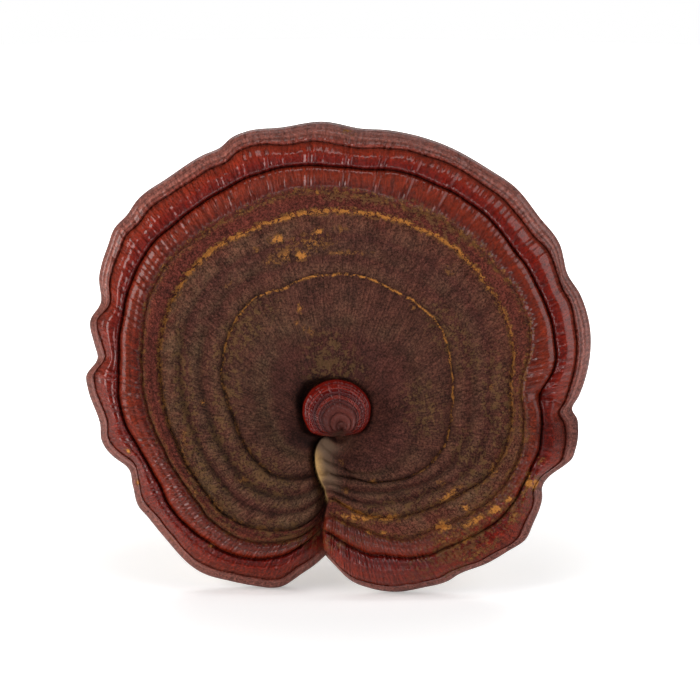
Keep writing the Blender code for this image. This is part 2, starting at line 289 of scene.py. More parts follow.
def ring_gap(growth, rings, at):
    """Distance along the face from each growth to a ring at a growth of its own."""
    ring = min(int(at), 5)
    return np.abs(growth - at) * (rings[ring + 1] - rings[ring])


def body_height(turn, growth):
    """Height of the cap's face without its rings, hollow and cleft."""
    at = np.radians(bearings(turn, growth))
    lobes = -0.5 * LOBE_STEP * np.cos(np.pi * turn) * step(0.3, 4, growth)
    waves = 0.5 * np.sin(3 * at + 0.7) + 0.25 * np.sin(7 * at)
    return straight(FACE_PROFILE, growth) + lobes + waves * (growth / 6) ** 2


def upness(angle):
    """0 for the lowest part of the cap and 1 for its top, by direction from the centre."""
    return (0.5 + 0.5 * np.cos(angle - math.radians(TOP_BEARING))) ** 1.3


def cleft_reach(turn, distance):
    """Distance along the face from the cleft's line, and whether it is on the left side."""
    return distance * np.radians(ROUND * np.minimum(turn, 1 - turn)), turn < 0.5


def face(turn, growth):
    """u, v and w of the face at each turn and growth."""
    distance, rings = radii(turn, growth)
    degrees = bearings(turn, growth)
    angle = np.radians(degrees)
    u = distance * np.cos(angle)
    v = distance * np.sin(angle)
    top = upness(angle)

    w = body_height(turn, growth)
    for first, last, low, high in BANDS:
        w += (low + (high - low) * top) * swell(growth, first, last)
    for at, low, high, width in CREASES:
        w -= (low + (high - low) * top) * np.exp(-ring_gap(growth, rings, at) / width)

    # Uneven growth: slow swells, small lumps in the matt centre, and radial wrinkles in the lacquer
    w += 0.45 * unevenness(u, v, 20, 3.1) * step(0.2, 1, growth)
    w += 0.14 * unevenness(u, v, 4.5, 8.4)
    lacquer = step(2.9, 3.2, growth) * (1 - step(5.6, 6, growth))
    sway = 0.012 * np.sin(9 * angle) + 0.01 * growth
    fine = rippled(angle + sway, 1.7, 193, 239, 281, 331)
    broad = rippled(angle + 0.5 * sway, 0.6, 61, 83, 97)
    inner_side = 1 - 0.4 * step(0.1, 0.75, growth - np.floor(growth))
    w += (0.46 * fine + 0.25 * broad) * lacquer * inner_side
    matt = step(0.3, 0.6, growth) * (1 - step(2, 3, growth))
    w += 0.06 * rippled(angle + 0.3 * sway, 2.3, 67, 101, 139) * matt

    # The small crease that runs in from the notch on the right
    off_line = np.abs(degrees - straight(NOTCH_LINE, distance))
    w -= NOTCH_DEPTH * np.exp(-off_line / 1.5) * step(61, 68, distance)

    # The hollow round the young cap, with a dusty ledge over it
    across, up = u - HOLLOW_CENTRE[0], v - HOLLOW_CENTRE[1]
    away = np.hypot(across, up)
    hollow_rim = straight(HOLLOW_RIM, np.degrees(np.arctan2(up, across)))
    w += LEDGE_HEIGHT * near(across, 0, 9) * near(up, 12.5, 5)
    hollow = 1 - step(hollow_rim - 2.2, hollow_rim, away)
    w += (HOLLOW_FLOOR - w) * hollow

    # The cleft, and the tongue of the right lobe that curls over the left one
    reach, on_left = cleft_reach(turn, distance)
    floor = straight(CLEFT_FLOOR, growth)
    shrink = 1 - 0.75 * step(0.9, 2, growth)
    tongue = np.where(on_left, 0, swell(reach, 0, 2 * TONGUE_REACH * shrink) ** 0.6)
    tongue *= step(0.1, 0.2, growth) * (1 - step(1.5, 2.4, growth))
    w += (np.maximum(w, 0.2) - w + TONGUE_HEIGHT * shrink) * tongue
    left_scale = 0.6 + 3.4 * step(1.2, 3, growth)
    rise = np.where(on_left, 1 - np.exp(-((reach / left_scale) ** 1.4)), 1 - np.exp(-((reach / 0.7) ** 2)))
    w = floor + (w - floor) * rise
    lip = TONGUE_CURL * near(reach, 1.2, 0.8) * step(0, 0.4, reach) * tongue
    return u + lip * np.sin(angle), v - lip * np.cos(angle), w


def underside(turn, share):
    """u, v and w of the underside, from the rim (share 1) to the middle of the stem's patch (share 0)."""
    outward = np.clip((share - STEM_PATCH_SHARE) / (1 - STEM_PATCH_SHARE), 0, 1)
    rim = ring_radii(turn)[6]
    distance = STEM_PATCH_RADIUS * np.minimum(share / STEM_PATCH_SHARE, 1)
    distance += (rim - STEM_PATCH_RADIUS) * outward
    angle = np.radians(bearings(turn, 6))
    reach, _ = cleft_reach(turn, distance)
    middle = straight(FACE_PROFILE, 6 * outward)
    side = body_height(turn, 6 * outward) - middle
    w = middle + side * (1 - np.exp(-((reach / 5) ** 2))) - straight(FLESH, outward)
    u = distance * np.cos(angle)
    v = distance * np.sin(angle)
    zones = np.sin(outward * 40 + 2 * unevenness(u, v, 30, 2.2))
    w += (0.3 * unevenness(u, v, 14, 5.5) + 0.15 * zones) * (1 - step(0.93, 1, outward))
    w += (STEM_PATCH_W - w) * (1 - step(0, 0.45, outward))
    return u, v, w


def rim(turn, share):
    """u, v and w round the rolled rim, from the face's edge (share 0) to the underside (share 1)."""
    u, v, upper = face(turn, np.full(len(turn), 6.0))
    lower = underside(turn, np.ones(len(turn)))[2]
    out = 1 + RIM_BULGE * np.sin(np.pi * share) / np.hypot(u, v)
    return u * out, v * out, (upper + lower) / 2 + (upper - lower) / 2 * np.cos(np.pi * share)


def leaning():
    """The turn that leans the face back from upright, looking along -Y."""
    return Matrix.Rotation(-math.radians(LEAN), 3, "X")


def leaned(u, v, w):
    """Face places in millimetres, as places in metres with the face leaning back.

    The tables were measured as seen from in front, so what lies further back is spread out a little.
    """
    u = u - (u - VIEW_CENTRE[0]) * w / VIEW_DISTANCE
    v = v - (v - VIEW_CENTRE[1]) * w / VIEW_DISTANCE
    return np.column_stack((u, -w, v)) * MM @ np.array(leaning()).T


@functools.cache
def stand():
    """The move that stands the leaned cap on its lobes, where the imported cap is."""
    turn = np.tile(np.linspace(0, 1, 2 * ROUND + 1), 5)
    roll = np.repeat(np.linspace(0, 1, 5), 2 * ROUND + 1)
    places = leaned(*rim(turn, roll))
    low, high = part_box("cap")
    across = (low.x + high.x - places[:, 0].min() - places[:, 0].max()) / 2
    return np.array((across, high.y - places[:, 1].max(), low.z - places[:, 2].min()))


def charted(name, columns, rows, fine=None):
    """A flat grid to be shaped, with finer columns between two rows where fine names them."""
    sheet = bmesh.new()
    bmesh.ops.create_grid(sheet, x_segments=columns, y_segments=rows, size=1)
    if fine:
        low, high = (2 * row / rows - 1 for row in fine)
        level = []
        for edge in sheet.edges:
            first, second = (corner.co.y for corner in edge.verts)
            if abs(first - second) < SAME and low - SAME < first < high + SAME:
                level.append(edge)
        bmesh.ops.subdivide_edges(sheet, edges=level, cuts=FINE_CUTS, use_grid_fill=True)
    mesh = bpy.data.meshes.new(name)
    sheet.to_mesh(mesh)
    sheet.free()
    flat = np.zeros(len(mesh.vertices) * 3)
    mesh.vertices.foreach_get("co", flat)
    flat = flat.reshape(-1, 3)
    return mesh, (flat[:, 0] + 1) / 2, np.rint((flat[:, 1] + 1) / 2 * rows).astype(int)


def mark(mesh, name, values):
    """Keep one number, or one vector, at each vertex for the materials to read."""
    values = np.asarray(values, dtype=np.float32)
    kind = "FLOAT_VECTOR" if values.ndim == 2 else "FLOAT"
    layer = mesh.attributes.new(name, kind, "POINT")
    layer.data.foreach_set("vector" if values.ndim == 2 else "value", values.ravel())


def closed_piece(mesh, places, material):
    """Give the shaped grid its places, close its seam and poles, and put it in the scene."""
    mesh.vertices.foreach_set("co", np.asarray(places, dtype=float).ravel())
    skin = bmesh.new()
    skin.from_mesh(mesh)
    bmesh.ops.remove_doubles(skin, verts=skin.verts, dist=SEAM)
    bmesh.ops.recalc_face_normals(skin, faces=skin.faces)
    for side in skin.faces:
        side.smooth = True
    skin.to_mesh(mesh)
    skin.free()
    mesh.materials.append(material)
    piece = bpy.data.objects.new(mesh.name, mesh)
    bpy.context.scene.collection.objects.link(piece)
    return piece


# Materials


def feed(tree, made, inputs):
    """Link each input of a node to its socket, or set it to its number or colour."""
    for key, value in inputs.items():
        if isinstance(value, bpy.types.NodeSocket):
            tree.links.new(value, made.inputs[key])
        else:
            made.inputs[key].default_value = value
    return made


def add(tree, kind, inputs=None, **settings):
    """A node with its settings, and its inputs given as numbers, colours or sockets to link."""
    made = tree.nodes.new(kind)
    for key, value in settings.items():
        setattr(made, key, value)
    return feed(tree, made, inputs or {})


def attribute(tree, name, output="Fac"):
    """What the mesh keeps at each vertex under a name."""
    return add(tree, "ShaderNodeAttribute", attribute_name=name).outputs[output]


def maths(tree, operation, a, b=0.0, clamp=False):
    """One sum of two numbers or sockets."""
    return add(tree, "ShaderNodeMath", {0: a, 1: b}, operation=operation, use_clamp=clamp).outputs[0]


def fit(tree, value, low, high, to_low=0.0, to_high=1.0):
    """A smooth change from to_low to to_high as the value goes from low to high."""
    inputs = {"Value": value, "From Min": low, "From Max": high, "To Min": to_low, "To Max": to_high}
    return add(tree, "ShaderNodeMapRange", inputs, interpolation_type="SMOOTHSTEP").outputs["Result"]


def times(tree, a, b):
    """Two numbers or sockets multiplied."""
    return maths(tree, "MULTIPLY", a, b)


def plus(tree, a, b, clamp=False):
    """Two numbers or sockets added."""
    return maths(tree, "ADD", a, b, clamp)


def centred(tree, value, scale):
    """A value from 0 to 1 made to swing about 0."""
    return times(tree, maths(tree, "SUBTRACT", value, 0.5), scale)


def blend(tree, factor, a, b):
    """Two colours mixed by a factor."""
    return add(tree, "ShaderNodeMix", {0: factor, 6: a, 7: b}, data_type="RGBA").outputs[2]


def scaled(tree, vector, size):
    """A colour made lighter or darker, or a place made larger, by a number."""
    return add(tree, "ShaderNodeVectorMath", {0: vector, 3: size}, operation="SCALE").outputs[0]


def noise_at(tree, vector, scale, detail=2.0, rough=0.5):
    """Noise from 0 to 1 with so many lumps in a metre."""
    inputs = {"Vector": vector, "Scale": scale, "Detail": detail, "Roughness": rough}
    return add(tree, "ShaderNodeTexNoise", inputs).outputs["Fac"]


def combed(tree, scale, detail, rough):
    """Noise drawn out along the fibres, which run out from the middle."""
    inputs = {"Vector": attribute(tree, "fan", "Vector"), "Scale": scale}
    return noise_at(tree, add(tree, "ShaderNodeMapping", inputs).outputs[0], 1.0, detail, rough)


def tint(red, green, blue):
    """A linear colour from the 0 to 255 values of a paint chart."""
    parts = (red, green, blue)
    return (*(((part / 255 + 0.055) / 1.055) ** 2.4 if part > 10 else part / 3294 for part in parts), 1.0)


def colour_bands(tree, value, stops, top):
    """A colour that follows a value through (value, colour) stops."""
    made = add(tree, "ShaderNodeValToRGB", {"Fac": maths(tree, "DIVIDE", value, top)})
    ramp = made.color_ramp
    while len(ramp.elements) < len(stops):
        ramp.elements.new(0.5)
    for element, (place, colour) in zip(ramp.elements, stops):
        element.position = place / top
    for element, (place, colour) in zip(ramp.elements, stops):
        element.color = tint(*colour)
    return made.outputs["Color"]


def new_group(name, inputs, outputs):
    """An empty node group with named sockets: name, kind and default for each."""
    tree = bpy.data.node_groups.new(name, "ShaderNodeTree")
    for label, kind, default in inputs:
        socket = tree.interface.new_socket(label, in_out="INPUT", socket_type=kind)
        if default is not None:
            socket.default_value = default
    for label, kind in outputs:
        tree.interface.new_socket(label, in_out="OUTPUT", socket_type=kind)
    return tree, tree.nodes.new("NodeGroupInput"), tree.nodes.new("NodeGroupOutput")


def dusting_group(name):
    """Powder that lies in crumbs: a soft mask in, a crisp crumbled mask out."""
    tree, start, end = new_group(
        name,
        (
            ("Amount", "NodeSocketFloat", 0.0),
            ("Crumb Scale", "NodeSocketFloat", 900.0),
            ("Place", "NodeSocketVector", None),
        ),
        (("Mask", "NodeSocketFloat"),),
    )
    amount, scale, place = (start.outputs[label] for label in ("Amount", "Crumb Scale", "Place"))
    coarse = noise_at(tree, place, times(tree, scale, 0.35), 3.0, 0.6)
    crumbs = noise_at(tree, place, scale, 5.0, 0.8)
    loose = maths(tree, "SUBTRACT", plus(tree, coarse, crumbs), 1.0)
    level = plus(tree, times(tree, loose, 5.4), amount)
    held = fit(tree, amount, 0.02, 0.25)
    feed(tree, end, {"Mask": times(tree, fit(tree, level, 0.46, 0.66), held)})
    return tree


def mottle_group(name):
    """Skin that varies: a colour in, the same colour drifting lighter, darker and towards a second tone."""
    tree, start, end = new_group(
        name,
        (
            ("Colour", "NodeSocketColor", (0.1, 0.05, 0.04, 1)),
            ("Second Colour", "NodeSocketColor", (0.1, 0.07, 0.03, 1)),
            ("Second Amount", "NodeSocketFloat", 0.5),
            ("Contrast", "NodeSocketFloat", 0.3),
            ("Place", "NodeSocketVector", None),
        ),
        (("Colour", "NodeSocketColor"), ("Grain", "NodeSocketFloat")),
    )
    place = start.outputs["Place"]
    contrast = start.outputs["Contrast"]
    patches = fit(tree, noise_at(tree, place, DRIFT_SCALE, 6.0, 0.72), 0.26, 0.74)
    drift = times(tree, patches, start.outputs["Second Amount"])
    toned = blend(tree, drift, start.outputs["Colour"], start.outputs["Second Colour"])
    grain = noise_at(tree, place, GRAIN_SCALE, 6.0, 0.85)
    lumps = centred(tree, noise_at(tree, place, LUMP_SCALE, 3.0), 1.7)
    light = plus(tree, 1.0, times(tree, plus(tree, centred(tree, grain, 11.0), lumps), contrast))
    light = maths(tree, "MAXIMUM", light, 0.25)
    feed(tree, end, {"Colour": scaled(tree, toned, light), "Grain": grain})
    return tree


def grouped(tree, name, make, inputs):
    """The outputs of a shared node group, made the first time it is needed and placed in a tree."""
    group = bpy.data.node_groups.get(name) or make(name)
    return add(tree, "ShaderNodeGroup", inputs, node_tree=group).outputs


def new_skin(name):
    """A material with a Principled shader, ready for its nodes, and the place on the object."""
    material = bpy.data.materials.new(name)
    material.use_nodes = True
    tree = material.node_tree
    place = add(tree, "ShaderNodeTexCoord").outputs["Object"]
    return material, tree, tree.nodes["Principled BSDF"], place


def dusted(tree, amount, crumb_scale, place):
    """Where crumbs of dust lie, for an amount of dust."""
    inputs = {"Amount": amount, "Crumb Scale": crumb_scale, "Place": place}
    return grouped(tree, "Crumbled Dust", dusting_group, inputs)["Mask"]


def mottled_skin(tree, colour, second, amount, contrast, place):
    """A colour mottled towards a second one, and the grain that goes with it."""
    made = grouped(tree, "Mottled Skin", mottle_group, {
        "Colour": colour, "Second Colour": second, "Second Amount": amount, "Contrast": contrast,
        "Place": place,
    })
    return made["Colour"], made["Grain"]


def finish_skin(tree, shader, inputs, height, strength):
    """Feed a skin's shader, with its fine relief as a bump."""
    bump = add(tree, "ShaderNodeBump", {"Height": height, "Strength": strength, "Distance": 1.0})
    feed(tree, shader, {**inputs, "Normal": bump.outputs["Normal"]})


# How many lumps of each kind there are in a metre
DRIFT_SCALE = 110.0
LUMP_SCALE = 230.0
GRAIN_SCALE = 1500.0
PORE_SCALE = 2200.0
CAP_CRUMBS = 2000.0
VEIL_CRUMBS = 1500.0
STEM_CRUMBS = 700.0

# The skins' single colours
OLIVE_SKIN = tint(106, 80, 58)
TONGUE_SKIN = tint(122, 98, 78)
VEIL_DUST = tint(128, 94, 56)
# Painted shade for the cap's creases, folds, hollow and cleft
PAINTED_SHADE = tint(24, 10, 8)
THIN_DUST = tint(120, 78, 45)
THICK_DUST = tint(206, 134, 62)
LIP_PALE = tint(232, 184, 116)
BUD_SECOND = tint(86, 46, 40)
BUD_NECK_SKIN = tint(72, 50, 40)
# Painted shade for the young cap's grooves
BUD_PAINTED_SHADE = tint(30, 8, 6)
STEM_SECOND = tint(92, 60, 42)
STEM_DUST = tint(130, 86, 50)

# The cap's colours, by growth; the light mauve stops on the rolled rim, from about 5.15 to 6.4, are painted
# sheen over its red-brown
CAP_COLOURS_AND_RIM_SHEEN = (
    (0, (72, 32, 24)), (0.5, (80, 42, 35)), (0.95, (82, 46, 36)), (1.05, (88, 48, 38)), (1.6, (86, 46, 38)),
    (2, (92, 42, 32)), (2.5, (102, 46, 36)), (2.95, (104, 48, 34)), (3.2, (96, 25, 12)),
    (3.6, (120, 38, 16)), (3.9, (116, 34, 14)), (4.06, (90, 7, 2)), (4.35, (114, 17, 3)),
    (4.7, (130, 36, 14)), (4.95, (128, 44, 26)), (5.15, (130, 52, 38)), (5.6, (166, 96, 82)),
    (6.4, (140, 86, 76)), (6.8, (114, 76, 52)), (7, (196, 162, 122)), (7.12, (176, 142, 106)),
    (7.2, (192, 158, 120)), (7.42, (178, 144, 108)), (7.55, (188, 154, 116)), (8, (158, 120, 86)),
)


def ring_dust(tree, place):
    """How thick the ochre dust lies along the rings, from the distances that the mesh keeps."""
    wobble = centred(tree, noise_at(tree, place, 300.0, 3.0), 1.6)
    distances = add(tree, "ShaderNodeSeparateXYZ", {0: attribute(tree, "rings", "Vector")}).outputs
    strengths = add(tree, "ShaderNodeSeparateXYZ", {0: attribute(tree, "ring_dust", "Vector")}).outputs
    amount = 0.0
    for distance, strength, width in zip(distances, strengths, (0.85, 2.0, 2.6)):
        away = maths(tree, "ABSOLUTE", plus(tree, distance, wobble))
        line = times(tree, fit(tree, away, 0, width, 1, 0), strength)
        amount = maths(tree, "MAXIMUM", line, amount)
    return amount


def cap_skin(settings):
    """Matt, dusty centre, lacquered outer bands with a painted sheen on the rim, painted shade in the creases
    and a pale pore surface, by growth.
    """
    material, tree, shader, place = new_skin("reishi_cap_skin")
    growth, lacquer, shade = (attribute(tree, name) for name in ("growth", "lacquer", "shade"))
    matt = maths(tree, "SUBTRACT", 1.0, lacquer)
    front = fit(tree, growth, 6.3, 6.9, 1.0, 0.0)

    wander = centred(tree, noise_at(tree, place, 420.0, 3.0), 0.12)
    # The light mauve on the rim in these colours is painted sheen
    banded = colour_bands(tree, plus(tree, growth, wander), CAP_COLOURS_AND_RIM_SHEEN, 8)
    # The olive tone is partly dust and partly painted light on the rolls' slopes
    olive = times(tree, matt, attribute(tree, "olive"))
    contrast = times(tree, fit(tree, lacquer, 0, 1, 0.75, 0.15), fit(tree, growth, 6.5, 7, 1.0, 0.3))
    colour, grain = mottled_skin(tree, banded, OLIVE_SKIN, olive, contrast, place)
    streaks = combed(tree, (62, 62, 1.5), 3.0, 0.6)
    fibres = combed(tree, (95, 95, 9), 3.0, 0.65)
    worn = plus(tree, times(tree, streaks, 1.6), times(tree, fibres, 2.2))
    worn = maths(tree, "MAXIMUM", maths(tree, "SUBTRACT", worn, 0.85), 0.35)
    colour = blend(tree, front, colour, scaled(tree, colour, worn))

    colour = blend(tree, times(tree, attribute(tree, "tongue"), 0.85), colour, TONGUE_SKIN)
    veil = times(tree, dusted(tree, attribute(tree, "veil"), VEIL_CRUMBS, place), 0.55)
    colour = blend(tree, veil, colour, VEIL_DUST)
    # Painted shade in the creases, folds, hollow and cleft
    colour = blend(tree, shade, colour, PAINTED_SHADE)

    # Ochre dust along the rings and in patches, three of which are painted highlights on the lower left rim
    amount = maths(tree, "MAXIMUM", ring_dust(tree, place), attribute(tree, "patch"))
    dust = dusted(tree, amount, CAP_CRUMBS, place)
    thick = plus(tree, fit(tree, amount, 0.4, 0.85, 0.0, 0.95), centred(tree, grain, 5.0), clamp=True)
    colour = blend(tree, dust, colour, blend(tree, thick, THIN_DUST, THICK_DUST))
    pale = times(tree, attribute(tree, "pale"), fit(tree, grain, 0.4, 0.55, 0.6, 0.9))
    colour = blend(tree, pale, colour, LIP_PALE)

    dry = maths(tree, "MAXIMUM", dust, maths(tree, "MAXIMUM", pale, veil))
    dull = maths(tree, "MAXIMUM", dry, fit(tree, shade, 0.2, 0.8))
    gloss = times(tree, lacquer, maths(tree, "SUBTRACT", 1.0, dull, clamp=True))
    patchy = fit(tree, noise_at(tree, place, 190.0, 4.0, 0.6), 0.3, 0.7, -0.06, 0.1)

    pores = add(tree, "ShaderNodeTexVoronoi", {"Vector": place, "Scale": PORE_SCALE}).outputs["Distance"]
    back = maths(tree, "SUBTRACT", 1.0, front)
    height = times(tree, times(tree, streaks, lacquer), 0.0024)
    for relief, depth in (
        (times(tree, fibres, matt), 0.0009),
        (grain, fit(tree, lacquer, 0, 1, 0.0008, 0.0002)),
        (times(tree, pores, back), 0.00025),
        (dry, 0.00025),
    ):
        height = plus(tree, height, times(tree, relief, depth))
    finish_skin(tree, shader, {
        "Base Color": colour,
        "Roughness": plus(tree, fit(tree, gloss, 0, 1, 0.72, 0.3), patchy, clamp=True),
        "Coat Weight": times(tree, gloss, settings.lacquer_strength),
        "Coat Roughness": 0.13,
        "Specular IOR Level": 0.12,
    }, height, 0.9)
    return material


# The young cap's colours, by growth
BUD_COLOURS = (
    (0, (96, 52, 46)), (0.3, (98, 50, 44)), (0.5, (78, 30, 26)), (0.58, (72, 12, 8)), (0.64, (130, 30, 12)),
    (0.68, (70, 2, 0)), (0.77, (74, 2, 0)), (0.82, (118, 22, 8)), (0.93, (92, 8, 2)), (0.97, (112, 16, 6)),
    (1.0, (60, 8, 4)), (1.1, (76, 18, 10)), (1.3, (120, 60, 40)), (2, (96, 50, 34)),
)


def young_cap_skin(settings):
    """Wet-looking red lacquer with fine rings and painted shade in their grooves, turning matt towards the
    neck.
    """
    material, tree, shader, place = new_skin("reishi_young_cap_skin")
    growth, neck, shade = (attribute(tree, name) for name in ("growth", "tongue", "shade"))
    banded = colour_bands(tree, growth, BUD_COLOURS, 2)
    colour, grain = mottled_skin(tree, banded, BUD_SECOND, fit(tree, growth, 0.5, 0.8, 0.4, 0.0), 0.2, place)
    colour = blend(tree, neck, colour, BUD_NECK_SKIN)
    colour = blend(tree, shade, colour, BUD_PAINTED_SHADE)
    gloss = maths(tree, "SUBTRACT", fit(tree, growth, 0.35, 0.7, 0.2, 1.3), neck, clamp=True)
    finish_skin(tree, shader, {
        "Base Color": colour,
        "Roughness": maths(tree, "SUBTRACT", 0.5, times(tree, gloss, 0.3)),
        "Coat Weight": times(tree, gloss, 0.75 * settings.lacquer_strength),
        "Coat Roughness": 0.06,
        "Specular IOR Level": 0.05,
    }, times(tree, grain, 0.00012), 0.7)
    return material


# The stem's colours, by growth: along its bark to 1, then in over its cut
STEM_COLOURS = (
    (0, (96, 52, 34)), (0.1, (84, 36, 24)), (0.5, (72, 26, 18)), (0.95, (78, 34, 24)), (1, (96, 60, 40)),
    (1.04, (150, 112, 72)), (1.5, (172, 132, 88)),
)


def stem_skin(settings):
    """Dark lacquered bark over a pale fibrous cut."""
    material, tree, shader, place = new_skin("reishi_stem_skin")
    growth = attribute(tree, "growth")
    banded = colour_bands(tree, growth, STEM_COLOURS, 1.5)
    colour, grain = mottled_skin(tree, banded, STEM_SECOND, 0.45, 0.3, place)
    dust = dusted(tree, attribute(tree, "ochre"), STEM_CRUMBS, place)
    skin = fit(tree, growth, 1.0, 1.02, 1.0, 0.0)
    gloss = maths(tree, "MULTIPLY", skin, maths(tree, "SUBTRACT", 1.0, dust), clamp=True)
    patchy = fit(tree, noise_at(tree, place, 150.0, 4.0, 0.6), 0.3, 0.7, -0.1, 0.15)
    along = combed(tree, (9, 9, 14), 4.0, 0.6)
    finish_skin(tree, shader, {
        "Base Color": blend(tree, dust, colour, STEM_DUST),
        "Roughness": plus(tree, fit(tree, gloss, 0, 1, 0.75, 0.36), patchy, clamp=True),
        "Coat Weight": times(tree, gloss, settings.lacquer_strength),
        "Coat Roughness": 0.2,
    }, plus(tree, times(tree, grain, 0.0002), times(tree, along, 0.0008)), 0.8)
    return material


# Painted shade in the folds along the rings: growth, strength, strength low on the cap and width
FOLDS = (
    (0.42, 0.25, 0.35, 0.5), (0.7, 0.35, 0.5, 0.5), (1.02, 0.75, 0.95, 0.35), (1.36, 0.4, 0.75, 0.6),
    (1.66, 0.3, 0.65, 0.45), (2.02, 0.15, 0.8, 0.27), (2.5, 0.12, 0.45, 0.4), (3.02, 0.1, 0.3, 0.25),
    (3.3, 0.3, 0.4, 0.4), (3.55, 0, 0.55, 0.35), (4, 0.98, 0.95, 0.17), (4.34, 0.2, 0.6, 0.3),
    (4.72, 0.15, 0.55, 0.25), (5, 0.75, 0.55, 0.2), (5.45, 0.75, 0.5, 0.34), (5.9, 0.7, 0.45, 0.28),
)
# Where that painted shade fades: by how much, bearing, its spread, and the growth where it starts and is
# whole
FADED_FOLDS = ((0.55, -60, 34, 1.9, 2.5), (0.75, -88, 9, 3.2, 3.6), (0.4, 236, 26, 3.5, 4))
# Shadows between rings: strength, bearing, its spread, growth and its spread
SHADOWS = (
    (0.85, 205, 38, 0.5, 0.14), (0.3, 175, 30, 0.75, 0.2), (0.85, 140, 36, 0.35, 0.11),
    (0.35, 145, 30, 0.56, 0.13), (0.3, 95, 32, 1.45, 0.22),
)
# Shadows over the outer bands: strength, bearing, its spread, and the growth where it starts and is whole
OUTER_SHADOWS = ((0.25, -62, 24, 3.9, 4.4), (0.4, 88, 38, 5.1, 5.4))
# How far the matt skin turns to olive, by growth: partly olive dust and partly painted light, lightest beside
# the creases as if the rolls' slopes caught the light
OLIVE = (
    (0, 0.6), (0.3, 0.2), (0.6, 0.1), (0.7, 0.9), (0.78, 0.6), (0.98, 0.1), (1.0, 0.3), (1.08, 0.8),
    (1.28, 0.05), (1.36, 1.0), (1.5, 0.7), (1.62, 0.05), (1.68, 0.9), (1.9, 0.85), (1.97, 1.0), (2.03, 0.0),
    (2.8, 0.0), (2.95, 0.7), (3.02, 0.0), (8, 0.3),
)
# Patches of ochre spore dust, and among them three painted highlights on the lower left rim: u and v of the
# middle, length, width, tilt of the length and strength
DUST_AND_HIGHLIGHT_PATCHES = (
    (-10.6, 56.6, 1.9, 1.3, 10, 1.5), (-5.2, 64.0, 1.3, 1.1, 0, 1.2), (-18.4, 61.7, 2.4, 1.3, 5, 1.1),
    (-5.8, 76.7, 1.0, 0.8, 0, 0.8), (-25.4, 58.2, 1.3, 1.0, 30, 0.5), (-15.8, 55.8, 3.0, 1.6, 20, 0.55),
    (-8, 60.5, 7.0, 2.6, 5, 0.55), (-16, 57, 6.0, 2.2, 25, 0.55), (5.0, 57.3, 6.0, 0.7, 0, 0.6),
    (2, 65, 2.4, 1.0, 0, 0.5), (37, 51.8, 1.6, 1.6, 0, 0.5), (-11.3, 39.4, 1.1, 1.2, 0, 0.75),
    (-12.2, 34.6, 0.9, 1.3, 0, 0.6), (-8.4, 32, 2.0, 1.4, -30, 0.45), (51.2, 51.2, 1.2, 1.6, 0, 0.5),
    (-30.7, 70.1, 3.0, 1.0, 28, 0.4), (6.5, -27.4, 6.5, 1.5, -8, 0.8), (17, -27.4, 4.4, 1.3, 3, 0.9),
    (10.9, -32.2, 1.2, 0.9, 0, 0.95), (15.7, -32.2, 1.3, 0.9, 0, 0.85), (2, -28.6, 2.8, 0.7, -35, 0.6),
    (36.5, -20.2, 4.2, 1.1, 35, 0.9), (41.7, -24.0, 1.0, 1.6, 0, 0.95), (34.5, -30.3, 3.2, 1.9, 10, 1.0),
    (44.5, -28.6, 5.0, 1.2, 28, 1.0), (51.2, -25.0, 2.8, 1.7, 25, 0.95), (55.6, -21.6, 2.0, 1.3, 20, 0.85),
    (63.4, -16.6, 2.9, 1.8, 0, 1.1), (62.0, -13.6, 1.0, 1.6, 0, 0.8), (50.6, -12.2, 1.3, 1.9, 0, 0.7),
    (42, -34.6, 5.0, 1.1, 30, 0.6), (46, -38.5, 6.0, 1.4, 25, 0.5), (36, -34, 5.0, 1.6, 20, 0.5),
    (34, -16.4, 1.6, 1.3, 0, 0.45), (60.5, -19.5, 1.2, 1.2, 0, 0.6), (57, -26, 3.0, 3.0, 0, 0.45),
    (66, -9.4, 1.2, 1.4, 60, 0.6), (3.2, -18.6, 1.2, 0.9, -40, 0.55), (1.9, -9.8, 0.8, 1.1, 0, 0.6),
    (39, -45, 4.0, 1.2, 25, 0.65), (29, -52.2, 4.5, 1.0, 15, 0.6), (5.0, 96.4, 2.2, 1.4, 0, 0.5),
    (-66.2, -6.0, 1.0, 0.6, -60, 1.0), (-63, -16, 0.6, 1.0, 0, 0.9), (-39.7, -36.6, 0.9, 0.7, 0, 1.1),
    # The patches at (-60.4, -26.3), (-51.9, -35.3) and (-47.7, -41.3) are painted highlights on the lower
    # left rim, in the dust's colours
    (-60.4, -26.3, 1.4, 0.6, -50, 0.75), (-51.9, -35.3, 1.8, 0.6, -50, 0.75),
    (-47.7, -41.3, 1.6, 0.7, -40, 0.8), (-42.3, 9.5, 1.0, 0.7, 0, 0.8), (-45, -19.1, 0.7, 0.7, 0, 0.9),
    (-33.5, -32, 1.4, 0.6, -35, 0.6), (-48, -2, 0.8, 2.6, 10, 0.5), (-29.5, -15.5, 1.6, 1.0, 0, 0.5),
    (12, -15.8, 1.2, 0.7, 0, 0.6), (50, 14.5, 0.9, 0.7, 0, 0.7), (25, 40, 1.0, 0.8, 0, 0.6),
    (-34, 47, 1.2, 0.8, 40, 0.6),
)
